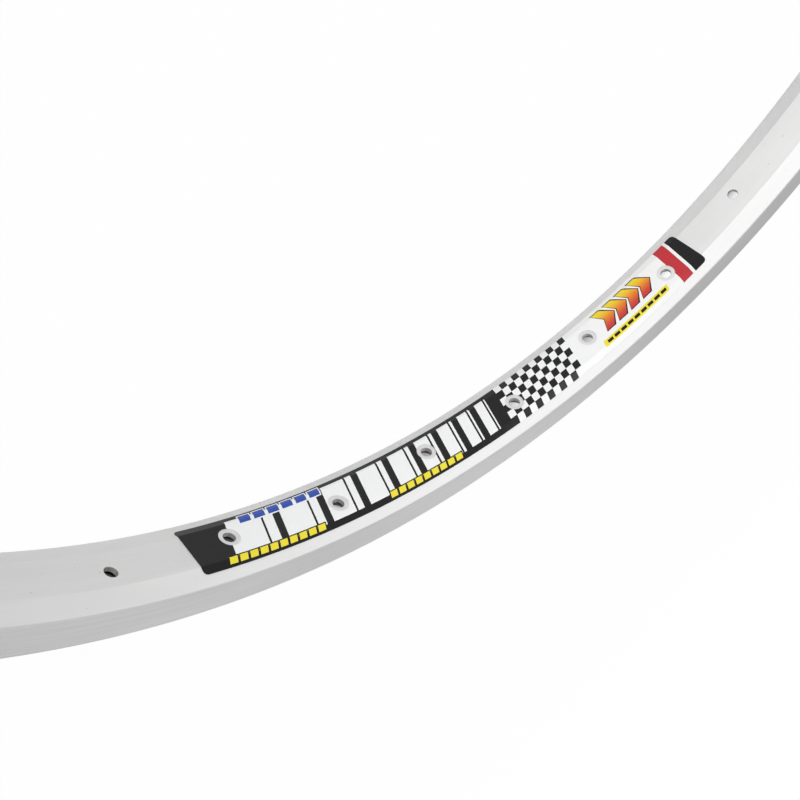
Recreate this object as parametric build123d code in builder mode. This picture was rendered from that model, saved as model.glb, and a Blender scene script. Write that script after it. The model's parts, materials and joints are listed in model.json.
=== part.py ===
from build123d import *
import os
from math import atan2, cos, degrees, radians, sin, tan

# Double-wall bicycle rim for a 26 inch wheel, in millimetres. It is one hollow
# extrusion rolled into a hoop, closed by a sleeve inside its chamber, with one
# printed film on the spoke bed. The wheel axis is Z and the origin is the hub
# centre. The rim lies flat, with the valve hole at +X and the joint at -X.

# Sizes that the tyre, tube and spokes set
BEAD_SEAT_DIAMETER = 559.0
INNER_WIDTH = 24.0
FLANGE_HEIGHT = 6.0
SPOKE_PAIRS = 18
SPOKE_HOLE_DIAMETER = 4.5
ACCESS_HOLE_DIAMETER = 9.0
SPOKE_STAGGER = 1.35
VALVE_HOLE_DIAMETER = 8.5

# Depths and widths of the section
CHAMBER_DEPTH = 2.8
BED_WIDTH = 14.6
SHOULDER_RISE = 2.7
SEAT_WIDTH = 3.4
RAMP_WIDTH = 2.4
WELL_DEPTH = 2.9
HOOK_OVERHANG = 0.8
HOOK_HEIGHT = 2.2
HOOK_SLOPE = 1.0

# Wall thicknesses of the section
BED_WALL = 1.9
FACET_WALL = 1.6
SIDE_WALL = 1.6
SEAT_WALL = 1.5
WELL_WALL = 1.3

# Rounded corners on the hub side, and the broken edges of the flanges
BED_CORNER_RADIUS = 1.2
SHOULDER_RADIUS = 0.9
LIP_CHAMFER = 0.7

# Joint of the hoop
JOINT_ANGLE = 180.0
JOINT_GAP = 0.1
SLEEVE_CLEARANCE = 0.05
SLEEVE_TO_HOLE = 1.5

# Printed film
DECAL_ANGLE = 89.9
DECAL_HOLES = 6
DECAL_END_MARGIN = 16.8
DECAL_WIDTH = 21.0
DECAL_THICKNESS = 0.15
ADHESIVE_GAP = 0.05
DECAL_CORNER_RADIUS = 1.8
DECAL_CUTOUT_DIAMETER = 8.0

# How far a drill runs clear of the wall that it passes
DRILL_OVERRUN = 1.0

# Radii measured from the wheel axis
seat_radius = BEAD_SEAT_DIAMETER / 2
outer_radius = seat_radius + FLANGE_HEIGHT
well_radius = seat_radius - WELL_DEPTH
chamber_roof = well_radius - WELL_WALL
chamber_floor = chamber_roof - CHAMBER_DEPTH
chamber_middle = (chamber_floor + chamber_roof) / 2
bed_radius = chamber_floor - BED_WALL
drill_depth = outer_radius - bed_radius + DRILL_OVERRUN

# Half-widths measured from the middle plane of the rim
half_bed = BED_WIDTH / 2
half_throat = INNER_WIDTH / 2 + HOOK_OVERHANG
half_width = half_throat + SIDE_WALL
half_seat = half_throat - SEAT_WIDTH
half_well = half_seat - RAMP_WIDTH
half_mouth = half_throat - HOOK_OVERHANG

# Slopes of the slanted facet under each shoulder and of the ramp into the tyre well
facet_slope = atan2(SHOULDER_RISE, half_width - half_bed)
ramp_slope = atan2(WELL_DEPTH, RAMP_WIDTH)

# Angles round the wheel, in degrees
hole_pitch = 180.0 / SPOKE_PAIRS
joint_gap_arc = degrees(JOINT_GAP / bed_radius)
sleeve_end_room = degrees((ACCESS_HOLE_DIAMETER / 2 + SLEEVE_TO_HOLE) / chamber_roof)
sleeve_arc = hole_pitch - 2 * sleeve_end_room
decal_arc = (DECAL_HOLES - 1) * hole_pitch + degrees(2 * DECAL_END_MARGIN / bed_radius)


def section_plane(angle: float) -> Plane:
    """Plane through the wheel axis, with x along the radius and y along the axis."""
    turn = radians(angle)
    return Plane(
        origin=(0, 0, 0),
        x_dir=(cos(turn), sin(turn), 0),
        z_dir=(sin(turn), -cos(turn), 0),
    )


def drill_plane(angle: float, height: float) -> Plane:
    """Plane outside the hoop that faces away from the axis, to drill inwards from."""
    turn = radians(angle)
    out = Vector(cos(turn), sin(turn), 0)
    return Plane(origin=out * outer_radius + Vector(0, 0, height), z_dir=out)


def spoke_hole_places() -> list[tuple[float, float]]:
    """Angle and height of every spoke hole, alternately above and below the middle."""
    places = []
    for pair in range(SPOKE_PAIRS):
        first = (2 * pair + 0.5) * hole_pitch
        places.append((first, -SPOKE_STAGGER))
        places.append((first + hole_pitch, SPOKE_STAGGER))
    return places


def chamber_half() -> list[tuple[float, float]]:
    """Corners of the upper half of the hollow between the walls, from floor to roof."""
    wall_inside = half_width - SIDE_WALL
    facet_offset = FACET_WALL / cos(facet_slope)
    floor_end = half_bed + (BED_WALL - facet_offset) / tan(facet_slope)
    facet_end = bed_radius + (wall_inside - half_bed) * tan(facet_slope) + facet_offset
    seat_underside = seat_radius - SEAT_WALL
    ramp_rise = seat_underside - well_radius + WELL_WALL / cos(ramp_slope)
    return [
        (chamber_floor, 0),
        (chamber_floor, floor_end),
        (facet_end, wall_inside),
        (seat_underside, wall_inside),
        (seat_underside, half_well + ramp_rise / tan(ramp_slope)),
        (chamber_roof, half_well + WELL_WALL * tan(ramp_slope / 2)),
        (chamber_roof, 0),
    ]


# Upper half of the outside of the section, from the spoke bed round to the tyre well,
# as radius, height and rounding
outside_corners = [
    (bed_radius, half_bed, BED_CORNER_RADIUS),
    (bed_radius + SHOULDER_RISE, half_width, SHOULDER_RADIUS),
    (outer_radius - LIP_CHAMFER, half_width, 0),
    (outer_radius, half_width - LIP_CHAMFER, 0),
    (outer_radius, half_mouth + LIP_CHAMFER, 0),
    (outer_radius - LIP_CHAMFER, half_mouth, 0),
    (outer_radius - HOOK_HEIGHT, half_mouth, 0),
    (outer_radius - HOOK_HEIGHT - HOOK_SLOPE, half_throat, 0),
    (seat_radius, half_throat, 0),
    (seat_radius, half_seat, 0),
    (well_radius, half_well, 0),
]
outside_half = [(radius, height) for radius, height, _ in outside_corners]
outside_half = [(bed_radius, 0)] + outside_half + [(well_radius, 0)]
outside_rounding = [rounding for _, _, rounding in outside_corners]

spoke_drills = [drill_plane(angle, height) for angle, height in spoke_hole_places()]
os.makedirs("parts", exist_ok=True)

# Hoop: the hollow hooked section, rolled until its two ends meet at the joint
with BuildPart() as rim_hoop:
    with BuildSketch(section_plane(JOINT_ANGLE + joint_gap_arc / 2)):
        with BuildLine():
            FilletPolyline(*outside_half, radius=outside_rounding)
            mirror(about=Plane.XZ)
        make_face()
        with BuildLine():
            Polyline(*chamber_half())
            mirror(about=Plane.XZ)
        make_face(mode=Mode.SUBTRACT)
    revolve(axis=Axis.Z, revolution_arc=360 - joint_gap_arc)
    # Each spoke hole has a wider hole behind it, which the nipple goes in by
    with Locations(*spoke_drills):
        CounterBoreHole(
            radius=SPOKE_HOLE_DIAMETER / 2,
            counter_bore_radius=ACCESS_HOLE_DIAMETER / 2,
            counter_bore_depth=outer_radius - chamber_middle,
            depth=drill_depth,
        )
    # The valve passes both walls, midway between two spoke holes
    with Locations(drill_plane(0, 0)):
        Hole(radius=VALVE_HOLE_DIAMETER / 2, depth=drill_depth)
rim_hoop.part.label = "rim_hoop"
export_step(rim_hoop.part, "parts/rim_hoop.step")

# Sleeve: fills the chamber across the joint, between the two nearest access holes
with BuildPart() as joint_sleeve:
    with BuildSketch(section_plane(JOINT_ANGLE - sleeve_arc / 2)):
        with BuildLine():
            Polyline(*chamber_half())
            mirror(about=Plane.XZ)
        make_face()
        offset(amount=-SLEEVE_CLEARANCE)
    revolve(axis=Axis.Z, revolution_arc=sleeve_arc)
joint_sleeve.part.label = "joint_sleeve"
export_step(joint_sleeve.part, "parts/joint_sleeve.step")

# Film: lies on the spoke bed and folds over onto both slanted facets, on a thin adhesive
fold_width = DECAL_WIDTH / 2 - half_bed
film_edge_radius = bed_radius + fold_width * sin(facet_slope)
film_edge_height = half_bed + fold_width * cos(facet_slope)
film_seat = [
    (film_edge_radius, -film_edge_height),
    (bed_radius, -half_bed),
    (bed_radius, half_bed),
    (film_edge_radius, film_edge_height),
]
film_layers = [
    (ADHESIVE_GAP + DECAL_THICKNESS, Mode.ADD),
    (ADHESIVE_GAP, Mode.SUBTRACT),
]
with BuildPart() as rim_decal:
    with BuildSketch(section_plane(DECAL_ANGLE - decal_arc / 2)):
        for height, mode in film_layers:
            with BuildLine():
                FilletPolyline(*film_seat, radius=BED_CORNER_RADIUS)
                offset(amount=height, side=Side.LEFT)
            make_face(mode=mode)
    revolve(axis=Axis.Z, revolution_arc=decal_arc)
    corners = rim_decal.edges().filter_by(lambda edge: edge.length < 2 * DECAL_THICKNESS)
    fillet(corners, DECAL_CORNER_RADIUS)
    # Punched clear of each spoke hole that the film covers
    with Locations(*spoke_drills):
        Hole(radius=DECAL_CUTOUT_DIAMETER / 2, depth=drill_depth)
rim_decal.part.label = "rim_decal"
export_step(rim_decal.part, "parts/rim_decal.step")
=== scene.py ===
"""Dressed model of a 26 inch double-wall bicycle rim that lies flat, with one printed film.

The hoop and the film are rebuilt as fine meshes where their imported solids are, in one frame:
the wheel axis is Z, the valve hole is at +X and the joint of the hoop is at -X. Shapes are
worked out in millimetres and written in metres.
"""

import json
import logging
import math
from collections.abc import Iterator, Mapping, Sequence
from dataclasses import dataclass, field
from enum import Enum, IntEnum
from typing import Any, ClassVar

import bpy
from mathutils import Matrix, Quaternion, Vector
from mathutils.geometry import delaunay_2d_cdt


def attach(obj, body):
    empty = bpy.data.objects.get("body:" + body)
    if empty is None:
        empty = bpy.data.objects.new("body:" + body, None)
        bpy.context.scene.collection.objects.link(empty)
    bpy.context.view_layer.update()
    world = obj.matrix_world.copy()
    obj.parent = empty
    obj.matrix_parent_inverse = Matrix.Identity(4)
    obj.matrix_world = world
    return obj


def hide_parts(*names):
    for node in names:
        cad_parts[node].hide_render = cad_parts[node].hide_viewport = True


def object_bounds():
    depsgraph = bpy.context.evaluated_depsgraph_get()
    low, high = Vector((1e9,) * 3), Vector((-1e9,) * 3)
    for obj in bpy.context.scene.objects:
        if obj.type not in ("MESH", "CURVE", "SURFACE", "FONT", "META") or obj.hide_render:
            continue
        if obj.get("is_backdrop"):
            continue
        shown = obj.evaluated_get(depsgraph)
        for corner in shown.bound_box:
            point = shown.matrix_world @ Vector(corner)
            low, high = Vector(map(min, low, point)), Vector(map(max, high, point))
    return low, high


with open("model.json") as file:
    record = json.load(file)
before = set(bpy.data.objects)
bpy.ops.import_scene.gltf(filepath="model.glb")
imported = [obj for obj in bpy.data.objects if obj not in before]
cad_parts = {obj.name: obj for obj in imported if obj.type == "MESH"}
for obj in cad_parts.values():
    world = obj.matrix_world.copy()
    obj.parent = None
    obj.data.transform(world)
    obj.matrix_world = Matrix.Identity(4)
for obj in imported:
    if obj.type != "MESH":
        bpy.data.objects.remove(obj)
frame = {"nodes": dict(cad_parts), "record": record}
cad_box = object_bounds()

log = logging.getLogger("bicycle_rim")

MM = 0.001
UP = Vector((0.0, 0.0, 1.0))

# Points of a mesh that agree when rounded to this many steps a millimetre are one
WELD = 2.0e4
# Points of a flat outline that lie closer than this, in millimetres, are one
MERGE = 1.0e-4

Flat = tuple[float, float]
Triple = tuple[float, float, float]
Edge = tuple[int, int]
Corner = tuple[Vector, Vector]

WHITE: Triple = (1.0, 1.0, 1.0)


# Shader graphs


class Value:
    """A shader number, which Python's operators extend with Math nodes."""

    def __init__(self, graph: "Graph", socket: bpy.types.NodeSocket) -> None:
        """Wrap an output socket of a graph."""
        self.graph = graph
        self.socket = socket

    def __add__(self, other: "Value | float") -> "Value":
        """Return self + other."""
        return self.graph.maths("ADD", self, other)

    __radd__ = __add__

    def __sub__(self, other: "Value | float") -> "Value":
        """Return self - other."""
        return self.graph.maths("SUBTRACT", self, other)

    def __rsub__(self, other: float) -> "Value":
        """Return other - self."""
        return self.graph.maths("SUBTRACT", other, self)

    def __mul__(self, other: "Value | float") -> "Value":
        """Return self * other."""
        return self.graph.maths("MULTIPLY", self, other)

    __rmul__ = __mul__

    def __truediv__(self, other: "Value | float") -> "Value":
        """Return self / other."""
        return self.graph.maths("DIVIDE", self, other)

    def __pow__(self, other: "Value | float") -> "Value":
        """Return self to the power of other."""
        return self.graph.maths("POWER", self, other)

    def __abs__(self) -> "Value":
        """Return the size of self without its sign."""
        return self.graph.maths("ABSOLUTE", self)


class Graph:
    """A node tree that is filled by expressions."""

    def __init__(self, tree: bpy.types.NodeTree) -> None:
        """Empty a node tree to start from."""
        self.tree = tree
        tree.nodes.clear()

    def add(
        self,
        kind: str,
        settings: Mapping[str, Any] | None = None,
        sockets: Mapping[str | int, Any] | None = None,
    ) -> bpy.types.Node:
        """Add a node.

        Args:
            kind: The node's type name without its leading ShaderNode.
            settings: Properties of the node, set before its sockets; "stops" fills a ramp.
            sockets: Value or link of each input, by its name or place.

        Returns:
            The new node.
        """
        node = self.tree.nodes.new("ShaderNode" + kind)
        for key, setting in (settings or {}).items():
            if key == "stops":
                self._fill_ramp(node.color_ramp, setting)
            else:
                setattr(node, key, setting)
        for key, given in (sockets or {}).items():
            source = given.socket if isinstance(given, Value) else given
            if isinstance(source, bpy.types.NodeSocket):
                self.tree.links.new(source, node.inputs[key])
            else:
                node.inputs[key].default_value = source
        return node

    @staticmethod
    def _fill_ramp(ramp: bpy.types.ColorRamp, stops: Sequence[tuple[float, Triple]]) -> None:
        """Give a ramp its stops.

        Args:
            ramp: The ramp.
            stops: Place and colour of each stop.
        """
        while len(ramp.elements) < len(stops):
            ramp.elements.new(1.0)
        for element, (place, colour) in zip(ramp.elements, stops):
            element.position = place
            element.color = (*colour, 1.0)

    def maths(self, operation: str, *values: "Value | float") -> Value:
        """Return the result of one Math node."""
        node = self.add("Math", {"operation": operation}, dict(enumerate(values)))
        return Value(self, node.outputs[0])

    def step(self, value: Value, low: float, high: float) -> Value:
        """Return a smooth ramp from 0 at low to 1 at high."""
        node = self.add(
            "MapRange",
            {"interpolation_type": "SMOOTHSTEP"},
            {"Value": value, "From Min": low, "From Max": high},
        )
        return Value(self, node.outputs[0])

    def mix(self, share: "Value | float", first: Any, second: Any) -> bpy.types.NodeSocket:
        """Return a colour between two, each a colour or a link."""
        sockets = {0: share, 6: opaque(first), 7: opaque(second)}
        return self.add("Mix", {"data_type": "RGBA"}, sockets).outputs[2]

    def bump(self, height: Value, strength: float, distance: float) -> bpy.types.NodeSocket:
        """Return a normal bent by a height, whose full range is distance metres."""
        sockets = {"Strength": strength, "Distance": distance, "Height": height}
        return self.add("Bump", None, sockets).outputs[0]

    def metres(self) -> list[Value]:
        """Return the place on the object, as three lengths in metres."""
        where = self.add("TexCoord").outputs["Object"]
        return [Value(self, part) for part in self.add("SeparateXYZ", None, {0: where}).outputs]

    def ray(self, kind: str) -> Value:
        """Return 1 for rays of a kind that the Light Path node names, and 0 for others."""
        return Value(self, self.add("LightPath").outputs[f"Is {kind} Ray"])

    def seen(self) -> Value:
        """Return 1 for rays from the camera, straight or through glass, and 0 for others."""
        return self.maths("MAXIMUM", self.ray("Camera"), self.ray("Transmission"))

    def surface(self, sockets: Mapping[str | int, Any]) -> None:
        """End a material's graph in a Principled shader with these inputs."""
        shader = self.add("BsdfPrincipled", None, sockets)
        self.add("OutputMaterial", None, {"Surface": shader.outputs[0]})


def opaque(colour: Any) -> Any:
    """Return a colour with full alpha, or a link as it is."""
    return (*colour, 1.0) if isinstance(colour, tuple) else colour


def new_material(name: str) -> tuple[bpy.types.Material, Graph]:
    """Return an empty material and its graph."""
    material = bpy.data.materials.new(name)
    material.use_nodes = True
    return material, Graph(material.node_tree)


@dataclass(frozen=True)
class Pattern:
    """Noise on the hoop, by its waves a millimetre along it and across it.

    Its detail is how many finer layers it has, and its roughness how strong they are.
    """

    along: float
    across: float
    detail: float
    roughness: float = 0.5


@dataclass(frozen=True)
class HoopPlace:
    """Where a shaded point is on the hoop, in millimetres."""

    graph: Graph
    along: Value
    radius: Value
    height: Value

    @classmethod
    def read(cls, graph: Graph, bed_radius: float) -> "HoopPlace":
        """Work out the place from the object's coordinates.

        Args:
            graph: The graph to add the nodes to.
            bed_radius: Radius that turns an angle into a length along the hoop.

        Returns:
            The place.
        """
        x, y, z = graph.metres()
        radius = (x * x + y * y) ** 0.5 / MM
        along = graph.maths("ARCTAN2", y, x) * bed_radius
        return cls(graph, along, radius, z / MM)

    def noise(self, pattern: Pattern) -> Value:
        """Add a pattern.

        Args:
            pattern: The pattern.

        Returns:
            Its noise, from about -0.5 to 0.5.
        """
        across = pattern.across
        parts = {0: self.along * pattern.along, 1: self.radius * across, 2: self.height * across}
        sockets = {
            "Vector": self.graph.add("CombineXYZ", None, parts).outputs[0],
            "Scale": 1.0,
            "Detail": pattern.detail,
            "Roughness": pattern.roughness,
        }
        return Value(self.graph, self.graph.add("TexNoise", None, sockets).outputs["Fac"]) - 0.5


# Finishes


@dataclass(frozen=True, kw_only=True)
class SatinAlloy:
    """Satin anodised aluminium with the fine lines that rolling and brushing leave along it."""

    bed_radius: float
    half_width: float
    name: str = "satin_alloy"
    light: Triple = (0.76, 0.76, 0.755)
    dark: Triple = (0.64, 0.64, 0.64)
    speck: Triple = (0.30, 0.29, 0.28)
    roughness: float = 0.55
    metallic: float = 0.60
    lines: Pattern = Pattern(along=0.016, across=2.6, detail=3.0, roughness=0.62)
    hairs: Pattern = Pattern(along=0.05, across=9.0, detail=2.0)
    clouds: Pattern = Pattern(along=0.022, across=0.09, detail=2.0)
    grain: Pattern = Pattern(along=7.0, across=7.0, detail=2.0, roughness=0.7)
    dust: Pattern = Pattern(along=0.55, across=0.9, detail=1.0)
    cloud_tint: float = 0.7
    grain_tint: float = 0.25
    drawn_relief: float = 0.5
    grain_relief: float = 0.35
    speck_relief: float = 0.6
    cloud_dullness: float = 0.10
    grain_dullness: float = 0.08
    drawn_polish: float = 0.06
    line_bump: float = 0.16
    line_depth: float = 0.02
    bed_lines: float = 0.35
    side_lines: float = 1.20
    bed_hairs: float = 0.22
    side_hairs: float = 0.80
    speck_level: float = 0.275
    speck_fade: float = 0.025
    speck_share: float = 0.45
    side_start: float = 0.5
    side_end: float = 0.1

    def material(self) -> bpy.types.Material:
        """Make the material.

        Returns:
            The material.
        """
        material, graph = new_material(self.name)
        at = HoopPlace.read(graph, self.bed_radius)
        lines, hairs = at.noise(self.lines), at.noise(self.hairs)
        clouds, grain, dust = at.noise(self.clouds), at.noise(self.grain), at.noise(self.dust)
        side_from, side_full = self.half_width - self.side_start, self.half_width - self.side_end
        side = graph.step(abs(at.height), side_from, side_full)
        # Lines and hairs show more on the sidewalls than on the spoke bed
        line_share = self.bed_lines + (self.side_lines - self.bed_lines) * side
        hair_share = self.bed_hairs + (self.side_hairs - self.bed_hairs) * side
        drawn = lines * line_share + hairs * hair_share
        specks = graph.step(dust, self.speck_level, self.speck_level + self.speck_fade)
        tint = 0.5 + drawn + clouds * self.cloud_tint + grain * self.grain_tint
        metal = graph.mix(tint, self.dark, self.light)
        relief = drawn * self.drawn_relief + grain * self.grain_relief - specks * self.speck_relief
        dullness = clouds * self.cloud_dullness + grain * self.grain_dullness
        graph.surface(
            {
                "Base Color": graph.mix(specks * self.speck_share, metal, self.speck),
                "Metallic": self.metallic,
                "Roughness": self.roughness + dullness - drawn * self.drawn_polish,
                "Normal": graph.bump(relief, self.line_bump, self.line_depth * MM),
            }
        )
        return material


@dataclass(frozen=True, kw_only=True)
class MillAlloy:
    """Aluminium as it leaves the die, dull and streaked along its length, with its colour painted
    dark for shade inside the hollow.
    """

    bed_radius: float
    name: str = "mill_alloy"
    # Painted shade: these dark colours stand for the shade inside the hollow, not for the tone of
    # bare aluminium
    light: Triple = (0.20, 0.197, 0.193)
    dark: Triple = (0.12, 0.118, 0.116)
    roughness: float = 0.55
    streaks: Pattern = Pattern(along=0.05, across=3.0, detail=4.0, roughness=0.65)
    grain: Pattern = Pattern(along=5.0, across=5.0, detail=2.0)
    grain_relief: float = 0.4
    streak_dullness: float = 0.2
    grain_dullness: float = 0.1
    streak_bump: float = 0.3
    streak_depth: float = 0.02

    def material(self) -> bpy.types.Material:
        """Make the material.

        Returns:
            The material.
        """
        material, graph = new_material(self.name)
        at = HoopPlace.read(graph, self.bed_radius)
        streaks, grain = at.noise(self.streaks), at.noise(self.grain)
        relief = streaks + grain * self.grain_relief
        dullness = streaks * self.streak_dullness + grain * self.grain_dullness
        graph.surface(
            {
                "Base Color": graph.mix(0.5 + streaks, self.dark, self.light),
                "Metallic": 1.0,
                "Roughness": self.roughness + dullness,
                "Normal": graph.bump(relief, self.streak_bump, self.streak_depth * MM),
            }
        )
        return material


@dataclass(frozen=True, kw_only=True)
class DrilledAlloy(MillAlloy):
    """Bare aluminium where a drill has cut it, brighter than the chamber's alloy, whose dark
    colour is painted shade.
    """

    name: str = "drilled_alloy"
    light: Triple = (0.66, 0.643, 0.627)
    dark: Triple = (0.52, 0.507, 0.494)


class Ink(Enum):
    """Inks of the printed film, each with the colours between which it varies."""

    BLACK = ((0.0075, 0.0070, 0.0078), (0.0105, 0.0098, 0.0108))
    WHITE = ((0.760, 0.770, 0.765), (0.815, 0.825, 0.820))
    YELLOW = ((0.720, 0.610, 0.034), (0.790, 0.680, 0.048))
    BLUE = ((0.024, 0.062, 0.330), (0.034, 0.082, 0.400))
    RED = ((0.440, 0.024, 0.033), (0.500, 0.036, 0.045))
    BLEND = ((0.750, 0.590, 0.038), (0.540, 0.040, 0.038))


@dataclass(frozen=True, kw_only=True)
class PrintedFilm:
    """Gloss laminate over one ink, with the slight ripple of stuck film."""

    ink: Ink
    bed_radius: float
    roughness: float = 0.22
    gloss: float = 0.25
    ripple: Pattern = Pattern(along=0.35, across=0.35, detail=2.0)
    peel: Pattern = Pattern(along=2.2, across=2.2, detail=1.0)
    dots: Pattern = Pattern(along=9.0, across=9.0, detail=1.0)
    dot_tint: float = 0.9
    ripple_tint: float = 0.6
    ripple_relief: float = 0.7
    peel_relief: float = 0.3
    peel_dullness: float = 0.08
    dot_dullness: float = 0.05
    ripple_bump: float = 0.12
    ripple_depth: float = 0.05
    blend_from: float = -8.0
    blend_to: float = 2.0
    blend_dots: float = 0.12
    blend_middle: Triple = (0.72, 0.24, 0.026)

    def material(self) -> bpy.types.Material:
        """Make the material.

        Returns:
            The material.
        """
        material, graph = new_material("film_" + self.ink.name.lower())
        at = HoopPlace.read(graph, self.bed_radius)
        ripple, peel, dots = at.noise(self.ripple), at.noise(self.peel), at.noise(self.dots)
        first, second = self.ink.value
        if self.ink is Ink.BLEND:
            share = graph.step(at.height, self.blend_from, self.blend_to) + dots * self.blend_dots
            stops = ((0.0, first), (0.5, self.blend_middle), (1.0, second))
            colour = graph.add("ValToRGB", {"stops": stops}, {"Fac": share}).outputs[0]
        else:
            tint = 0.5 + dots * self.dot_tint + ripple * self.ripple_tint
            colour = graph.mix(tint, first, second)
        relief = ripple * self.ripple_relief + peel * self.peel_relief
        dullness = peel * self.peel_dullness + dots * self.dot_dullness
        graph.surface(
            {
                "Base Color": colour,
                "Roughness": self.roughness + dullness,
                "Specular IOR Level": self.gloss,
                "Normal": graph.bump(relief, self.ripple_bump, self.ripple_depth * MM),
            }
        )
        return material


# Mesh building


def linked(name: str, data: bpy.types.ID) -> bpy.types.Object:
    """Return a new object of the scene that holds a mesh, a lamp or a camera."""
    made = bpy.data.objects.new(name, data)
    bpy.context.scene.collection.objects.link(made)
    return made


@dataclass
class Skin:
    """A mesh in the making: welded points, and faces with a normal at each corner."""

    points: list[Vector] = field(default_factory=list)
    faces: list[list[int]] = field(default_factory=list)
    normals: list[Vector] = field(default_factory=list)
    finishes: list[int] = field(default_factory=list)
    known: dict[tuple[int, int, int], int] = field(default_factory=dict)

    def _point(self, place: Vector) -> int:
        """Number a point, which is added if it is new.

        Args:
            place: Where it is, in millimetres.

        Returns:
            Its number.
        """
        key = (round(place.x * WELD), round(place.y * WELD), round(place.z * WELD))
        if key not in self.known:
            self.known[key] = len(self.points)
            self.points.append(place * MM)
        return self.known[key]

    def face(self, corners: Sequence[Corner], finish: int) -> None:
        """Add a face, unless welding leaves it fewer than three points.

        Args:
            corners: Place in millimetres and normal of each corner, anticlockwise from outside.
            finish: The place of its material on the object.
        """
        normals: dict[int, Vector] = {}
        for place, normal in corners:
            normals.setdefault(self._point(place), normal)
        if len(normals) > 2:
            self.faces.append(list(normals))
            self.normals += normals.values()
            self.finishes.append(int(finish))

    def piece(self, name: str, materials: Sequence[bpy.types.Material]) -> bpy.types.Object:
        """Make the mesh object.

        Args:
            name: The piece's name.
            materials: Its materials, in the order that faces number them.

        Returns:
            The object, linked to the scene.
        """
        mesh = bpy.data.meshes.new(name)
        mesh.from_pydata(self.points, [], self.faces)
        for material in materials:
            mesh.materials.append(material)
        mesh.polygons.foreach_set("material_index", self.finishes)
        mesh.polygons.foreach_set("use_smooth", [True] * len(self.faces))
        mesh.normals_split_custom_set(self.normals)
        mesh.update()
        return linked(name, mesh)


def around(angle: float) -> tuple[Vector, Vector]:
    """Return the outward and the forward direction at an angle in degrees round the hoop."""
    x, y = math.cos(math.radians(angle)), math.sin(math.radians(angle))
    return Vector((x, y, 0.0)), Vector((-y, x, 0.0))


@dataclass(frozen=True)
class Spot:
    """A point of a section with its outward normal, in radius and height."""

    radius: float
    height: float
    out_radius: float
    out_height: float

    def mirrored(self) -> "Spot":
        """Return the same spot on the other side of the middle plane."""
        return Spot(self.radius, -self.height, self.out_radius, -self.out_height)

    def lifted(self, distance: float) -> "Spot":
        """Return the spot moved out along its normal."""
        radius = self.radius + distance * self.out_radius
        height = self.height + distance * self.out_height
        return Spot(radius, height, self.out_radius, self.out_height)

    def at(self, angle: float) -> Corner:
        """Return its place and normal at an angle in degrees round the hoop."""
        out, _ = around(angle)
        return out * self.radius + UP * self.height, out * self.out_radius + UP * self.out_height


def rounded_path(corners: Sequence[Triple], step: float = 15.0) -> list[Spot]:
    """Round the corners of a path.

    Args:
        corners: Radius, height and rounding of each corner; the ends aren't rounded.
        step: Largest turn between two spots of an arc, in degrees.

    Returns:
        Spots along the path, with normals to its left.
    """
    flat = [Vector((radius, height)) for radius, height, _ in corners]
    ways = [(b - a).normalized() for a, b in zip(flat, flat[1:])]
    spots = [Spot(*flat[0], -ways[0].y, ways[0].x)]
    for corner, before, after, (_, _, rounding) in zip(flat[1:], ways, ways[1:], corners[1:]):
        turn = math.atan2(before.cross(after), before.dot(after))
        side = math.copysign(1.0, turn)
        start = corner - before * (rounding * math.tan(abs(turn) / 2))
        centre = start + Vector((-before.y, before.x)) * (side * rounding)
        pieces = max(2, math.ceil(abs(math.degrees(turn)) / step))
        heading = math.atan2(before.y, before.x)
        for part in range(pieces + 1):
            way = heading + turn * part / pieces
            left = Vector((-math.sin(way), math.cos(way)))
            spots.append(Spot(*(centre - left * (side * rounding)), left.x, left.y))
    spots.append(Spot(*flat[-1], -ways[-1].y, ways[-1].x))
    return spots


def spread(low: float, high: float, count: int) -> list[float]:
    """Return evenly spaced numbers from low to high, both included."""
    return [low + (high - low) * part / (count - 1) for part in range(count)]


def circle(sides: int) -> list[Flat]:
    """Return evenly spaced points of a circle of radius 1, anticlockwise."""
    turns = [math.tau * side / sides for side in range(sides)]
    return [(math.cos(turn), math.sin(turn)) for turn in turns]


def loop_edges(first: int, count: int) -> list[Edge]:
    """Return the edges of a closed loop of points numbered from first."""
    return [(first + part, first + (part + 1) % count) for part in range(count)]


def middle_of(places: Sequence[Vector]) -> Vector:
    """Return the middle of some places."""
    return sum(places, places[0] * 0.0) / len(places)


def inside_loop(place: Vector, loop: Sequence[Flat]) -> bool:
    """Tell whether a place lies inside a closed loop.

    Args:
        place: The place.
        loop: The loop's points.

    Returns:
        Whether it does.
    """
    inside = False
    for (ax, ay), (bx, by) in zip(loop, [*loop[1:], loop[0]]):
        if (ay > place.y) != (by > place.y):
            inside ^= place.x < ax + (bx - ax) * (place.y - ay) / (by - ay)
    return inside


def triangulate(
    points: Sequence[Flat], edges: Sequence[Edge]
) -> tuple[list[Vector], list[list[int]]]:
    """Triangulate points in a plane, keeping given edges.

    Args:
        points: The points.
        edges: Pairs of points that stay joined.

    Returns:
        The points of the result, which has more where edges cross, and its triangles,
        anticlockwise. Where no edges cross, the points keep their order.
    """
    made = delaunay_2d_cdt([Vector(point) for point in points], list(edges), [], 0, MERGE)
    places, triangles, sources = made[0], made[2], made[3]
    if len(places) == len(points):
        order = [source[0] for source in sources]
        places = [Vector(point) for point in points]
        triangles = [[order[corner] for corner in triangle] for triangle in triangles]
    turned = []
    for triangle in triangles:
        a, b, c = (places[corner] for corner in triangle)
        area = (b - a).cross(c - a)
        turned.append(list(triangle) if area > 0 else list(reversed(triangle)))
    return places, turned


# Sizes of the rim


def stated(mount: str) -> dict[str, Any]:
    """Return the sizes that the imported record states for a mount."""
    return next(row["dims"] for row in frame["record"]["mounts"] if row["name"] == mount)


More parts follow.
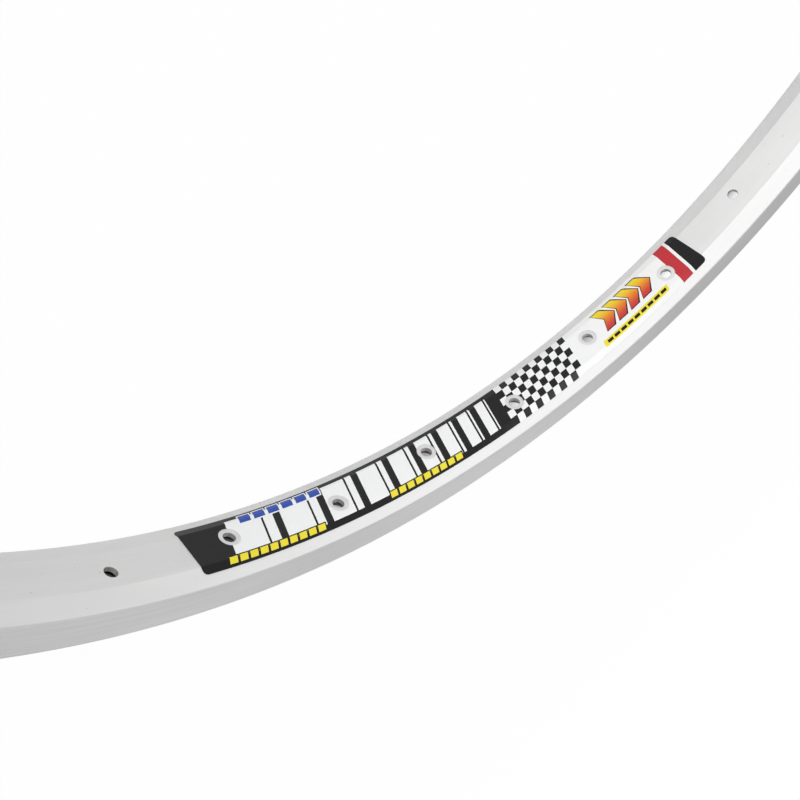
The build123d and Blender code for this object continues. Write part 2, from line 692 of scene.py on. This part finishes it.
@dataclass
class RimSection:
    """Section of the rim, in millimetres, with radii from the wheel axis."""

    seat_radius: float = field(default_factory=lambda: stated("tyre_bead_seat")["r_mm"])
    inner_width: float = 24.0
    flange_height: float = 6.0
    chamber_depth: float = 2.8
    bed_width: float = 14.6
    shoulder_rise: float = 2.7
    seat_width: float = 3.4
    ramp_width: float = 2.4
    well_depth: float = 2.9
    hook_overhang: float = 0.8
    hook_height: float = 2.2
    hook_slope: float = 1.0
    bed_wall: float = 1.9
    facet_wall: float = 1.6
    side_wall: float = 1.6
    seat_wall: float = 1.5
    well_wall: float = 1.3
    bed_rounding: float = 1.2
    shoulder_rounding: float = 0.9
    lip_rounding: float = 0.6
    hook_rounding: float = 0.5
    throat_rounding: float = 0.8
    seat_rounding: float = 0.8
    well_rounding: float = 1.0

    def __post_init__(self) -> None:
        """Work out the radii, half-widths and slopes."""
        self.outer_radius = self.seat_radius + self.flange_height
        self.well_radius = self.seat_radius - self.well_depth
        self.chamber_roof = self.well_radius - self.well_wall
        self.chamber_floor = self.chamber_roof - self.chamber_depth
        self.bed_radius = self.chamber_floor - self.bed_wall
        self.half_bed = self.bed_width / 2
        self.half_throat = self.inner_width / 2 + self.hook_overhang
        self.half_width = self.half_throat + self.side_wall
        self.half_seat = self.half_throat - self.seat_width
        self.half_well = self.half_seat - self.ramp_width
        self.facet_slope = math.atan2(self.shoulder_rise, self.half_width - self.half_bed)
        self.ramp_slope = math.atan2(self.well_depth, self.ramp_width)
        self.flat_bed = self.half_bed - self.bed_rounding * math.tan(self.facet_slope / 2)
        self.flat_well = self.half_well - self.well_rounding * math.tan(self.ramp_slope / 2)

    def outside(self) -> list[Spot]:
        """Draw the upper half of the outside.

        Returns:
            Its spots, from the spoke bed round to the tyre well.
        """
        hook = self.half_throat - self.hook_overhang
        hook_foot = self.outer_radius - self.hook_height
        return rounded_path(
            [
                (self.bed_radius, 0.0, 0.0),
                (self.bed_radius, self.half_bed, self.bed_rounding),
                (self.bed_radius + self.shoulder_rise, self.half_width, self.shoulder_rounding),
                (self.outer_radius, self.half_width, self.lip_rounding),
                (self.outer_radius, hook, self.lip_rounding),
                (hook_foot, hook, self.hook_rounding),
                (hook_foot - self.hook_slope, self.half_throat, self.throat_rounding),
                (self.seat_radius, self.half_throat, self.seat_rounding),
                (self.seat_radius, self.half_seat, self.seat_rounding),
                (self.well_radius, self.half_well, self.well_rounding),
                (self.well_radius, 0.0, 0.0),
            ]
        )

    def chamber(self) -> list[Flat]:
        """Draw the upper half of the hollow.

        Returns:
            Its corners, from its floor to its roof.
        """
        facet_offset = self.facet_wall / math.cos(self.facet_slope)
        slope, ramp = math.tan(self.facet_slope), math.tan(self.ramp_slope)
        floor_end = self.half_bed + (self.bed_wall - facet_offset) / slope
        facet_end = self.bed_radius + (self.half_throat - self.half_bed) * slope + facet_offset
        seat_underside = self.seat_radius - self.seat_wall
        ramp_rise = seat_underside - self.well_radius + self.well_wall / math.cos(self.ramp_slope)
        return [
            (self.chamber_floor, floor_end),
            (facet_end, self.half_throat),
            (seat_underside, self.half_throat),
            (seat_underside, self.half_well + ramp_rise / ramp),
            (self.chamber_roof, self.half_well + self.well_wall * math.tan(self.ramp_slope / 2)),
        ]

    def over_bed(self, reach: float) -> Spot:
        """Find a spot on the spoke bed or on a slanted facet.

        Args:
            reach: Its distance from the middle plane, along the surface.

        Returns:
            The spot.
        """
        past = abs(reach) - self.flat_bed
        side = math.copysign(1.0, reach)
        if past <= 0.0:
            return Spot(self.bed_radius, reach, -1.0, 0.0)
        bend = min(past / self.bed_rounding, self.facet_slope)
        beyond = past - bend * self.bed_rounding
        rise, run = math.sin(bend), math.cos(bend)
        radius = self.bed_radius + self.bed_rounding * (1 - run) + beyond * rise
        height = self.flat_bed + self.bed_rounding * rise + beyond * run
        return Spot(radius, side * height, -run, side * rise)


@dataclass(frozen=True)
class Hole:
    """A round hole drilled along a radius."""

    angle: float
    height: float
    radius: float

    def off_axis(self, place: Vector) -> float:
        """Return how far a place lies from the hole's axis."""
        _, forward = around(self.angle)
        return math.hypot(place.dot(forward), place.z - self.height)


@dataclass
class Drilling:
    """Spoke holes, their access holes and the valve hole."""

    count: int = field(default_factory=lambda: stated("spoke_hole_ring")["count"])
    spoke_radius: float = field(default_factory=lambda: stated("spoke_hole_ring")["hole_r_mm"])
    valve_radius: float = field(default_factory=lambda: stated("valve_hole")["r_mm"])
    access_radius: float = 4.5
    stagger: float = 1.35

    @property
    def pitch(self) -> float:
        """Angle from one spoke hole to the next, in degrees."""
        return 360.0 / self.count

    def spokes(self, radius: float) -> list[Hole]:
        """Place a hole at each spoke, alternately above and below the middle plane.

        Args:
            radius: Radius of the holes.

        Returns:
            The holes, by angle from -180 to 180 degrees.
        """
        first = -self.count // 2
        return [
            Hole(self.pitch * (number + 0.5), self.stagger * (1 if number % 2 else -1), radius)
            for number in range(first, first + self.count)
        ]

    def through(self, radius: float) -> list[Hole]:
        """Return a hole of one radius at each spoke, and the valve hole."""
        return [*self.spokes(radius), Hole(0.0, 0.0, self.valve_radius)]


# Pieces


class Piece:
    """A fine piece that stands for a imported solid. Each kind says how its skin is built."""

    name: ClassVar[str]
    node: ClassVar[str]
    slot: ClassVar[str]

    def build(self) -> Skin:
        """Return the finished skin."""
        raise NotImplementedError

    def dress(self, materials: Sequence[bpy.types.Material]) -> None:
        """Put the piece in place of its solid.

        Args:
            materials: Its materials, in the order that its faces number them.
        """
        skin = self.build()
        piece = skin.piece(self.name, materials)
        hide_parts(self.node)
        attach(piece, "root")
        log.info("%s: %d faces in place of %s", self.name, len(skin.faces), self.node)


class Finish(IntEnum):
    """Finishes of the hoop, by the places of their materials."""

    OUTSIDE = 0
    # The chamber finish is alloy painted dark as shade, inside the hollow and in the access-hole
    # bores
    CHAMBER = 1
    BORE = 2


@dataclass(frozen=True)
class HoledFace:
    """A cylindrical face of the hoop that has holes, each with a rounded edge.

    Its side is -1 where it faces the hub and 1 where it faces away.
    """

    radius: float
    half_width: float
    side: float
    edge: float
    finish: Finish


@dataclass
class Hoop(Piece):
    """The rolled hollow extrusion, drilled and butted at its joint."""

    name: ClassVar[str] = "hoop"
    node: ClassVar[str] = "rim_hoop"
    slot: ClassVar[str] = "rim_alloy"

    section: RimSection
    drilling: Drilling
    joint_gap: float = 0.1
    edge_break: float = 0.16
    edge_rings: int = 5
    step: float = 1.0
    rows: int = 7
    hole_sides: int = 48
    hole_margin: float = 0.7
    hole_core: float = 0.995
    skin: Skin = field(default_factory=Skin)

    def stations(self) -> list[float]:
        """Space the sections round the hoop.

        Returns:
            Their angles, from one end of the hoop to the other.
        """
        half_gap = math.degrees(self.joint_gap / 2 / self.section.bed_radius)
        count = round(360.0 / self.step)
        inner = [self.step * number - 180.0 for number in range(1, count)]
        return [half_gap - 180.0, *inner, 180.0 - half_gap]

    def build(self) -> Skin:
        """Build the outside, the hollow, the walls that have holes and the two ends.

        Returns:
            The finished skin.
        """
        section, edge = self.section, self.edge_break
        half_floor, half_roof = section.chamber()[0][1], section.chamber()[-1][1]
        bed = HoledFace(section.bed_radius, section.flat_bed, -1.0, edge, Finish.OUTSIDE)
        floor = HoledFace(section.chamber_floor, half_floor, 1.0, 0.0, Finish.CHAMBER)
        roof = HoledFace(section.chamber_roof, half_roof, -1.0, 0.0, Finish.CHAMBER)
        well = HoledFace(section.well_radius, section.flat_well, 1.0, edge, Finish.OUTSIDE)
        inner = self.drilling.through(self.drilling.spoke_radius)
        outer = self.drilling.through(self.drilling.access_radius)
        self._sweep_section()
        for face, holes in ((bed, inner), (floor, inner), (roof, outer), (well, outer)):
            self._band(face, holes)
        for hole in inner:
            self._bore(hole, bed, floor, Finish.BORE)
        # Painted shade: the access-hole bores take the dark chamber alloy, for the shade of a deep
        # hollow
        for hole in outer:
            self._bore(hole, roof, well, Finish.CHAMBER)
        self._cap(self.stations()[0], -1.0)
        self._cap(self.stations()[-1], 1.0)
        return self.skin

    def _sweep(self, first: Spot, second: Spot, finish: Finish) -> None:
        """Sweep one run of a section, and its mirror image, round the hoop.

        Args:
            first: Start of the run.
            second: End of the run.
            finish: Its finish. Faces of the chamber turn the other way.
        """
        angles = self.stations()
        for start, end in ((first, second), (second.mirrored(), first.mirrored())):
            for low, high in zip(angles, angles[1:]):
                corners = [start.at(low), end.at(low), end.at(high), start.at(high)]
                if finish is Finish.CHAMBER:
                    corners.reverse()
                self.skin.face(corners, finish)

    def _sweep_section(self) -> None:
        """Sweep the outside and the hollow, but for the four faces that have holes."""
        spots, corners = self.section.outside()[1:-1], self.section.chamber()
        for first, second in zip(spots, spots[1:]):
            self._sweep(first, second, Finish.OUTSIDE)
        for first, second in zip(corners, corners[1:]):
            way = (Vector(second) - Vector(first)).normalized()
            self._sweep(Spot(*first, way.y, -way.x), Spot(*second, way.y, -way.x), Finish.CHAMBER)

    def _bays(self, holes: Sequence[Hole]) -> Iterator[tuple[list[float], list[Hole]]]:
        """Divide the hoop into bays, one to a spoke. The two beside the valve hole are one.

        Args:
            holes: The holes through a wall.

        Yields:
            The stations of a bay, and the holes in it.
        """
        angles, count = self.stations(), self.drilling.count
        per_bay = round(self.drilling.pitch / self.step)
        marks = [per_bay * number for number in range(count + 1) if number != count // 2]
        for first, last in zip(marks, marks[1:]):
            bay = angles[first : last + 1]
            yield bay, [hole for hole in holes if bay[0] < hole.angle < bay[-1]]

    def _ring(self, hole: Hole, radius: float, wall: float, depth: float) -> list[Vector]:
        """Space points round a hole.

        Args:
            hole: The hole.
            radius: Radius of the ring about the hole's axis.
            wall: Radius of the wall's face about the wheel axis.
            depth: How far the ring lies outward of that face.

        Returns:
            The points, anticlockwise seen from outside the hoop.
        """
        out, forward = around(hole.angle)
        ring = []
        for x, y in circle(self.hole_sides):
            across = radius * x
            reach = math.sqrt(wall * wall - across * across) + depth
            ring.append(out * reach + forward * across + UP * (hole.height + radius * y))
        return ring

    def _band(self, face: HoledFace, holes: Sequence[Hole]) -> None:
        """Fill a face round its holes.

        Args:
            face: The face.
            holes: The holes in it.
        """
        heights = spread(-face.half_width, face.half_width, self.rows)
        margin = face.edge + self.hole_margin
        for bay, inside in self._bays(holes):
            spots: list[Vector] = []
            for column, angle in enumerate(bay):
                out, _ = around(angle)
                for row, height in enumerate(heights):
                    place = out * face.radius + UP * height
                    border = column in (0, len(bay) - 1) or row in (0, self.rows - 1)
                    near = any(hole.off_axis(place) < hole.radius + margin for hole in inside)
                    if border or not near:
                        spots.append(place)
            edges: list[Edge] = []
            for hole in inside:
                edges += loop_edges(len(spots), self.hole_sides)
                spots += self._ring(hole, hole.radius + face.edge, face.radius, 0.0)
            flat = [(math.atan2(spot.y, spot.x) * face.radius, spot.z) for spot in spots]
            cores = [(hole, (hole.radius + face.edge) * self.hole_core) for hole in inside]
            for triangle in triangulate(flat, edges)[1]:
                places = [spots[corner] for corner in triangle]
                middle = middle_of(places)
                if any(hole.off_axis(middle) < core for hole, core in cores):
                    continue
                if face.side < 0:
                    places.reverse()
                ways = [Vector((place.x, place.y, 0.0)).normalized() for place in places]
                corners = [(place, way * face.side) for place, way in zip(places, ways)]
                self.skin.face(corners, face.finish)

    def _bore(self, hole: Hole, near: HoledFace, far: HoledFace, finish: Finish) -> None:
        """Line a hole through one wall, with the rounded edges of its two faces.

        Args:
            hole: The hole.
            near: The wall's face towards the hub.
            far: Its other face.
            finish: Finish of the lining.
        """
        out, forward = around(hole.angle)
        inward = [-(forward * x + UP * y) for x, y in circle(self.hole_sides)]
        rings: list[list[Corner]] = []
        for face, start, end in ((near, 0.0, 90.0), (far, 90.0, 0.0)):
            for bend in spread(start, end, self.edge_rings) if face.edge else [90.0]:
                rise, run = math.sin(math.radians(bend)), math.cos(math.radians(bend))
                wide = hole.radius + face.edge * (1 - rise)
                depth = face.side * face.edge * (run - 1)
                normals = [way * rise + out * (face.side * run) for way in inward]
                rings.append(list(zip(self._ring(hole, wide, face.radius, depth), normals)))
        for first, second in zip(rings, rings[1:]):
            for side, after in loop_edges(0, self.hole_sides):
                self.skin.face([first[side], second[side], second[after], first[after]], finish)

    def _cap(self, angle: float, side: float) -> None:
        """Close one end of the hoop.

        Args:
            angle: The end's angle.
            side: 1 where it faces forward round the hoop, -1 where it faces back.
        """
        section, hollow = self.section, self.section.chamber()
        upper = [(spot.radius, spot.height) for spot in section.outside()[1:-1]]
        outer = self._closed(upper, section.flat_bed, section.flat_well)
        inner = self._closed(hollow, hollow[0][1], hollow[-1][1])
        edges = loop_edges(0, len(outer)) + loop_edges(len(outer), len(inner))
        points = outer + inner
        out, forward = around(angle)
        for triangle in triangulate(points, edges)[1]:
            middle = middle_of([Vector(points[corner]) for corner in triangle])
            if not inside_loop(middle, outer) or inside_loop(middle, inner):
                continue
            corners = [points[corner] for corner in (triangle if side < 0 else triangle[::-1])]
            places = [out * radius + UP * height for radius, height in corners]
            self.skin.face([(place, forward * side) for place in places], Finish.OUTSIDE)

    def _closed(self, upper: Sequence[Flat], half_near: float, half_far: float) -> list[Flat]:
        """Close a loop of the section, with the rows of its two faces that have holes.

        Args:
            upper: The loop's upper half, from the near face to the far one.
            half_near: Half the width of the face nearer the hub.
            half_far: Half the width of the other.

        Returns:
            The whole loop.
        """
        near, far = upper[0][0], upper[-1][0]
        lower = [(radius, -height) for radius, height in reversed(upper)]
        rising = [(near, height) for height in spread(-half_near, half_near, self.rows)[1:-1]]
        falling = [(far, height) for height in spread(half_far, -half_far, self.rows)[1:-1]]
        return [*rising, *upper, *falling, *lower]


# Print of the film, in millimetres along and up it from its middle

# How far the print's sides lean to the right for each step up, and those of the end stripes
LEAN = 0.32
STRIPE_LEAN = 0.12


@dataclass(frozen=True)
class Field:
    """One flat field of ink, by its corners."""

    ink: Ink
    corners: tuple[Flat, ...]


def slab(
    ink: Ink, left: float, right: float, low: float, high: float, lean: float = LEAN
) -> Field:
    """Draw a field with level edges.

    Args:
        ink: Its ink.
        left: Its left side at the middle of the film.
        right: Its right side there.
        low: Its lower edge.
        high: Its upper edge.
        lean: How far its sides move right for each step up.

    Returns:
        The field.
    """
    foot, head = low * lean, high * lean
    corners = ((left + foot, low), (right + foot, low), (right + head, high), (left + head, high))
    return Field(ink, corners)


@dataclass(frozen=True)
class Bars:
    """White bars, each cut by a black slit and narrower than the one before."""

    count: int = 9
    left: float = -118.0
    low: float = -7.9
    high: float = 8.3
    width: float = 19.8
    shrink: float = 0.86
    gap: float = 3.2
    slit_share: float = 0.74
    slit_width: float = 0.9

    def fields(self) -> Iterator[Field]:
        """Draw the bars.

        Yields:
            Each bar, from left to right, and its slit.
        """
        left, width = self.left, self.width
        for _ in range(self.count):
            slit = left + self.slit_share * width
            yield slab(Ink.WHITE, left, left + width, self.low, self.high)
            yield slab(Ink.BLACK, slit, slit + self.slit_width, self.low, self.high)
            left += width + self.gap
            width *= self.shrink


@dataclass(frozen=True)
class Dashes:
    """A row of dashes with thin borders."""

    ink: Ink
    border: Ink
    left: float
    right: float
    low: float
    high: float
    pitch: float
    share: float = 0.76
    rim: float = 0.5

    def fields(self) -> Iterator[Field]:
        """Draw the row.

        Yields:
            The borders and, over them, the dashes.
        """
        for ink, grow in ((self.border, self.rim), (self.ink, 0.0)):
            low, high = self.low - grow, self.high + grow
            for number in range(int((self.right - self.left) / self.pitch)):
                start = self.left + self.pitch * number
                end = start + self.share * self.pitch
                yield slab(ink, start - grow, end + grow, low, high)


@dataclass(frozen=True)
class Panel:
    """A white panel across the film, which starts in a field of squares."""

    edge: float
    side: float = 3.5
    rows: int = 6
    columns: int = 12
    left: float = 19.0
    right: float = 125.0

    def fields(self) -> Iterator[Field]:
        """Draw the panel.

        Yields:
            The panel and its squares, which share their corners.
        """
        levels = [self.side * (row - self.rows / 2) for row in range(self.rows + 1)]
        marks = [self.left + self.side * column for column in range(self.columns + 1)]
        edge, slant = self.edge, LEAN * self.edge
        border = [(marks[-1] + LEAN * level, level) for level in [edge, *reversed(levels), -edge]]
        far = [(self.right - slant, -edge), (self.right + slant, edge)]
        yield Field(Ink.WHITE, (*border, *far))
        for column, (left, right) in enumerate(zip(marks, marks[1:])):
            for row, (low, high) in enumerate(zip(levels, levels[1:])):
                if (column + row) % 2:
                    yield slab(Ink.WHITE, left, right, low, high)


@dataclass(frozen=True)
class Arrowheads:
    """Arrowheads that shade from yellow to red, with black borders."""

    count: int = 4
    left: float = 80.0
    pitch: float = 7.6
    arm: float = 4.6
    notch: float = 3.6
    length: float = 9.5
    low: float = -2.4
    middle: float = 2.8
    high: float = 8.0
    border: float = 0.5

    def fields(self) -> Iterator[Field]:
        """Draw the arrowheads.

        Yields:
            Each border, from left to right, and the arrowhead over it.
        """
        for number in range(self.count):
            start = self.left + self.pitch * number
            for ink, grow in ((Ink.BLACK, self.border), (Ink.BLEND, 0.0)):
                back, wing = start - grow, start + self.arm + grow
                low, high = self.low - grow, self.high + grow
                tip = (start + self.length + grow, self.middle)
                notch = (back + self.notch, self.middle)
                corners = ((back, low), (wing, low), tip, (wing, high), (back, high), notch)
                yield Field(ink, corners)


@dataclass
class Decal(Piece):
    """The printed film on the spoke bed, folded onto both slanted facets."""

    name: ClassVar[str] = "film"
    node: ClassVar[str] = "rim_decal"
    slot: ClassVar[str] = "printed_film"

    section: RimSection
    drilling: Drilling
    angle: float = 89.9
    covered: int = 6
    end_margin: float = 16.8
    width: float = 21.0
    thickness: float = 0.15
    adhesive: float = 0.05
    corner_rounding: float = 1.8
    corner_points: int = 7
    cutout_radius: float = 4.0
    cutout_sides: int = 48
    column: float = 4.0
    fold_lines: int = 4
    bleed: float = 1.0
    dashes: tuple[Dashes, ...] = (
        Dashes(Ink.YELLOW, Ink.BLACK, left=-121.0, right=-78.0, low=-9.4, high=-7.0, pitch=4.3),
        Dashes(Ink.YELLOW, Ink.BLACK, left=-47.0, right=-8.0, low=-9.4, high=-7.0, pitch=4.3),
        Dashes(Ink.BLUE, Ink.WHITE, left=-112.0, right=-68.0, low=5.6, high=9.2, pitch=6.3),
    )
    tick_strip: Field = slab(Ink.YELLOW, left=76.0, right=116.0, low=-8.2, high=-5.2)
    ticks: Dashes = Dashes(
        Ink.BLACK, Ink.YELLOW, left=78.0, right=116.0, low=-7.4, high=-6.0, pitch=4.2
    )
    red_from: float = 121.5
    white_from: float = 127.5
    black_from: float = 129.0

    @property
    def half_length(self) -> float:
        """Half the film's length along the spoke bed."""
        covered = math.radians((self.covered - 1) * self.drilling.pitch) * self.section.bed_radius
        return covered / 2 + self.end_margin

    def outline(self) -> list[Flat]:
        """Draw the film's edge.

        Returns:
            Its points, with rounded corners.
        """
        rounding = self.corner_rounding
        far, high = self.half_length - rounding, self.width / 2 - rounding
        edge = []
        for quarter, (x, y) in enumerate([(1, 1), (-1, 1), (-1, -1), (1, -1)]):
            for part in spread(0.0, 90.0, self.corner_points):
                turn = math.radians(90.0 * quarter + part)
                along, up = rounding * math.cos(turn), rounding * math.sin(turn)
                edge.append((x * far + along, y * high + up))
        return edge

    def cutouts(self) -> list[list[Flat]]:
        """Draw the punched holes.

        Returns:
            The points of each hole's edge.
        """
        loops, radius = [], self.cutout_radius
        edge = [(radius * x, radius * y) for x, y in circle(self.cutout_sides)]
        for hole in self.drilling.spokes(radius):
            along = math.radians(hole.angle - self.angle) * self.section.bed_radius
            if abs(along) < self.half_length:
                loops.append([(along + x, y - hole.height) for x, y in edge])
        return loops

    def fields(self) -> list[Field]:
        """Draw the print.

        Returns:
            Its fields, from the lowest to the topmost.
        """
        end, edge = self.half_length + self.bleed, self.width / 2 + self.bleed
        return [
            slab(Ink.BLACK, -end, end, -edge, edge, 0.0),
            *Bars().fields(),
            *(dash for row in self.dashes for dash in row.fields()),
            *Panel(edge, self.width / Panel.rows).fields(),
            *Arrowheads().fields(),
            self.tick_strip,
            *self.ticks.fields(),
            slab(Ink.RED, self.red_from, self.white_from, -edge, edge, STRIPE_LEAN),
            slab(Ink.BLACK, self.black_from, 2 * end, -edge, edge, STRIPE_LEAN),
            slab(Ink.WHITE, self.white_from, self.black_from, -edge, edge, STRIPE_LEAN),
        ]

    def build(self) -> Skin:
        """Cut the film from its outline, its holes, its print and its folds.

        Returns:
            The film's skin: a printed face, a back and the edges between them.
        """
        outline, cutouts, fields = self.outline(), self.cutouts(), self.fields()
        points: list[Flat] = []
        edges: list[Edge] = []
        for loop in [outline, *cutouts, *(patch.corners for patch in fields[1:])]:
            edges += loop_edges(len(points), len(loop))
            points += loop
        for line in self._bend_lines():
            edges.append((len(points), len(points) + 1))
            points += line
        places, triangles = triangulate(points, edges)
        kept, topmost = [], fields[::-1]
        for triangle in triangles:
            middle = middle_of([places[corner] for corner in triangle])
            punched = any(inside_loop(middle, loop) for loop in cutouts)
            if inside_loop(middle, outline) and not punched:
                ink = next(patch.ink for patch in topmost if inside_loop(middle, patch.corners))
                kept.append((triangle, ink))
        return self._shell(places, kept)

    def _bend_lines(self) -> list[tuple[Flat, Flat]]:
        """Draw lines across and along the film, by which it follows the hoop and the facets.

        Returns:
            The two ends of each line.
        """
        far, high = self.half_length + 2 * self.bleed, self.width / 2 + 2 * self.bleed
        count = round(2 * far / self.column)
        lines = [((along, -high), (along, high)) for along in spread(-far, far, count)]
        fold = self.section.bed_rounding * self.section.facet_slope
        for part in spread(0.0, fold, self.fold_lines):
            level = self.section.flat_bed + part
            lines += [((-far, level), (far, level)), ((-far, -level), (far, -level))]
        return lines

    def _seat(self, place: Vector, lift: float) -> Corner:
        """Return where a place on the film is on the rim, with its normal."""
        spot = self.section.over_bed(-place.y).lifted(lift)
        return spot.at(self.angle + math.degrees(place.x / self.section.bed_radius))

    def _shell(self, places: Sequence[Vector], kept: Sequence[tuple[list[int], Ink]]) -> Skin:
        """Close the film as a thin shell.

        Args:
            places: Points of the flat film.
            kept: Its triangles, each with its ink.

        Returns:
            The skin.
        """
        skin, order = Skin(), list(Ink)
        used = {corner for triangle, _ in kept for corner in triangle}
        low, high = self.adhesive, self.adhesive + self.thickness
        tops = {number: self._seat(places[number], high) for number in used}
        backs = {number: self._seat(places[number], low) for number in used}
        owners: dict[Edge, Ink] = {}
        for triangle, ink in kept:
            skin.face([tops[number] for number in triangle], order.index(ink))
            back = [backs[number] for number in reversed(triangle)]
            skin.face([(place, -normal) for place, normal in back], order.index(Ink.WHITE))
            for first, second in zip(triangle, [*triangle[1:], triangle[0]]):
                owners[first, second] = ink
        for (first, second), ink in owners.items():
            if (second, first) not in owners:
                corners = [backs[first][0], backs[second][0], tops[second][0], tops[first][0]]
                normal = (corners[1] - corners[0]).cross(corners[3] - corners[0]).normalized()
                skin.face([(corner, normal) for corner in corners], order.index(ink))
        return skin


# Stage


@dataclass(frozen=True)
class Viewpoint:
    """The camera, where the photograph was taken from, in millimetres."""

    eye: Triple = (185.880, -25.733, 162.980)
    aim: Triple = (27.710, 246.413, -14.400)
    roll: float = 133.151
    lens: float = 41.487
    sensor: float = 36.0
    nearest: float = 10.0
    furthest: float = 50000.0

    def place(self) -> None:
        """Add the camera and make it the scene's."""
        data = bpy.data.cameras.new("viewpoint")
        data.sensor_width, data.lens = self.sensor, self.lens
        data.clip_start, data.clip_end = self.nearest * MM, self.furthest * MM
        camera = linked("viewpoint", data)
        look = (Vector(self.aim) - Vector(self.eye)).to_track_quat("-Z", "Y")
        roll = Quaternion((0.0, 0.0, 1.0), math.radians(self.roll))
        camera.rotation_mode = "QUATERNION"
        camera.rotation_quaternion = look @ roll
        camera.location = Vector(self.eye) * MM
        bpy.context.scene.camera = camera


@dataclass(frozen=True)
class Lamp:
    """A soft square lamp that faces the rim, placed in metres by its bearing from there."""

    name: str
    azimuth: float
    elevation: float
    watts: float
    size: float = 0.5
    distance: float = 1.5
    aim: Triple = (0.0, 0.2, 0.0)

    def hang(self) -> None:
        """Add the lamp to the scene."""
        data = bpy.data.lights.new(self.name, "AREA")
        data.energy, data.size = self.watts, self.size
        lamp = linked(self.name, data)
        out, _ = around(self.azimuth)
        rise = math.radians(self.elevation)
        way = out * math.cos(rise) + UP * math.sin(rise)
        lamp.location = Vector(self.aim) + way * self.distance
        lamp.rotation_mode = "QUATERNION"
        lamp.rotation_quaternion = way.to_track_quat("Z", "Y")
        lamp.visible_camera = False


@dataclass
class Studio:
    """A white floor with a ring of painted shade round the rim, a pale surround and soft lamps."""

    section: RimSection
    reach: float = 8.0
    ambient: float = 0.38
    floor_shade: Triple = (0.75, 0.75, 0.75)
    floor_glow: float = 1.0
    seen_white: float = 0.98
    mirrored_white: float = 0.52
    shadow_reach: float = 0.7
    # The floor's ring of painted shade runs from the rim's foot, over a fade of this many
    # millimetres, to these two distances beyond the lip
    painted_shade_inner_fade: float = 2.0
    painted_shade_start: float = 9.0
    painted_shade_end: float = 27.0
    lamps: tuple[Lamp, ...] = (
        Lamp("key_panel", azimuth=302.0, elevation=9.0, watts=10.4, size=0.42),
        Lamp("front_panel", azimuth=254.0, elevation=25.0, watts=4.2),
        Lamp("left_panel", azimuth=222.0, elevation=26.0, watts=4.6),
        Lamp("right_panel", azimuth=345.0, elevation=27.0, watts=1.4),
        Lamp("back_panel", azimuth=120.0, elevation=24.0, watts=1.1),
        Lamp("rear_panel", azimuth=88.0, elevation=38.0, watts=1.3),
        Lamp("top_panel", azimuth=270.0, elevation=80.0, watts=2.2),
    )

    def build(self) -> None:
        """Lay the floor, light the surround and hang the lamps."""
        self._floor()
        self._surround()
        for lamp in self.lamps:
            lamp.hang()

    def _floor(self) -> None:
        """Lay the floor under the rim."""
        reach, level = self.reach, -self.section.half_width * MM
        corners = [(x * reach, y * reach, level) for x, y in ((-1, -1), (1, -1), (1, 1), (-1, 1))]
        mesh = bpy.data.meshes.new("studio_floor")
        mesh.from_pydata(corners, [], [(0, 1, 2, 3)])
        mesh.materials.append(self._floor_material())
        floor = linked("studio_floor", mesh)
        floor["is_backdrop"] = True

    def _floor_material(self) -> bpy.types.Material:
        """Make a floor that is white to the eye and in reflections but for the shadow and a ring
        of painted shade round the rim.

        Returns:
            The material.
        """
        material, graph = new_material("studio_floor")
        plain = graph.add("BsdfDiffuse", None, {"Color": opaque(self.floor_shade)})
        glow = graph.add("Emission", None, {"Color": opaque(WHITE), "Strength": self.floor_glow})
        x, y, _ = graph.metres()
        radius = (x * x + y * y) ** 0.5
        far = graph.step(radius, self.shadow_reach, 2 * self.shadow_reach)
        foot = (self.section.bed_radius + self.section.shoulder_rise) * MM
        lip = self.section.outer_radius * MM
        # Painted shade: between the rim's foot and past its lip the white glow is taken away, to
        # the eye and in reflections, so the floor there is darker even where no shadow falls; its
        # real shadow shows there too
        under = graph.step(radius, foot, foot + self.painted_shade_inner_fade * MM)
        beside = graph.step(radius, lip + self.painted_shade_start * MM, lip + self.painted_shade_end * MM)
        white = self.seen_white + (1.0 - self.seen_white) * far
        mirrored = graph.ray("Glossy") * self.mirrored_white
        share = (graph.seen() * white + mirrored) * (1.0 - under + beside)
        both = graph.add("MixShader", None, {0: share, 1: plain.outputs[0], 2: glow.outputs[0]})
        graph.add("OutputMaterial", None, {"Surface": both.outputs[0]})
        return material

    def _surround(self) -> None:
        """Give the scene a surround that is white to the eye and lights the rim softly."""
        world = bpy.data.worlds.new("studio_surround")
        world.use_nodes = True
        graph = Graph(world.node_tree)
        colour = graph.mix(graph.seen(), (self.ambient, self.ambient, self.ambient), WHITE)
        light = graph.add("Background", None, {"Color": colour, "Strength": 1.0})
        graph.add("OutputWorld", None, {"Surface": light.outputs[0]})
        bpy.context.scene.world = world


def write_sizes() -> None:
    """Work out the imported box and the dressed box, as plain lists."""
    boxes = {"cad": cad_box, "visual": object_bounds()}
    plain = {key: [list(corner) for corner in box] for key, box in boxes.items()}


def main() -> None:
    """Build the rim and its stage."""
    logging.basicConfig(level=logging.INFO, format="%(name)s: %(message)s")
    section, drilling = RimSection(), Drilling()
    bed, half_width = section.bed_radius, section.half_width
    satin = SatinAlloy(bed_radius=bed, half_width=half_width).material()
    # The chamber alloy's dark colours are painted shade; the joint sleeve in the hollow takes them
    # too
    mill_painted_shade = MillAlloy(bed_radius=bed).material()
    drilled = DrilledAlloy(bed_radius=bed).material()
    Hoop(section, drilling).dress([satin, mill_painted_shade, drilled])
    inks = [PrintedFilm(ink=ink, bed_radius=bed).material() for ink in Ink]
    Decal(section, drilling).dress(inks)
    sleeve = frame["nodes"]["joint_sleeve"]
    sleeve.data.materials.clear()
    sleeve.data.materials.append(mill_painted_shade)
    log.info("joint_sleeve: keeps its packed solid")
    Studio(section).build()
    Viewpoint().place()
    bpy.context.scene.view_settings.view_transform = "Standard"
    write_sizes()


if __name__ == "__main__":
    main()
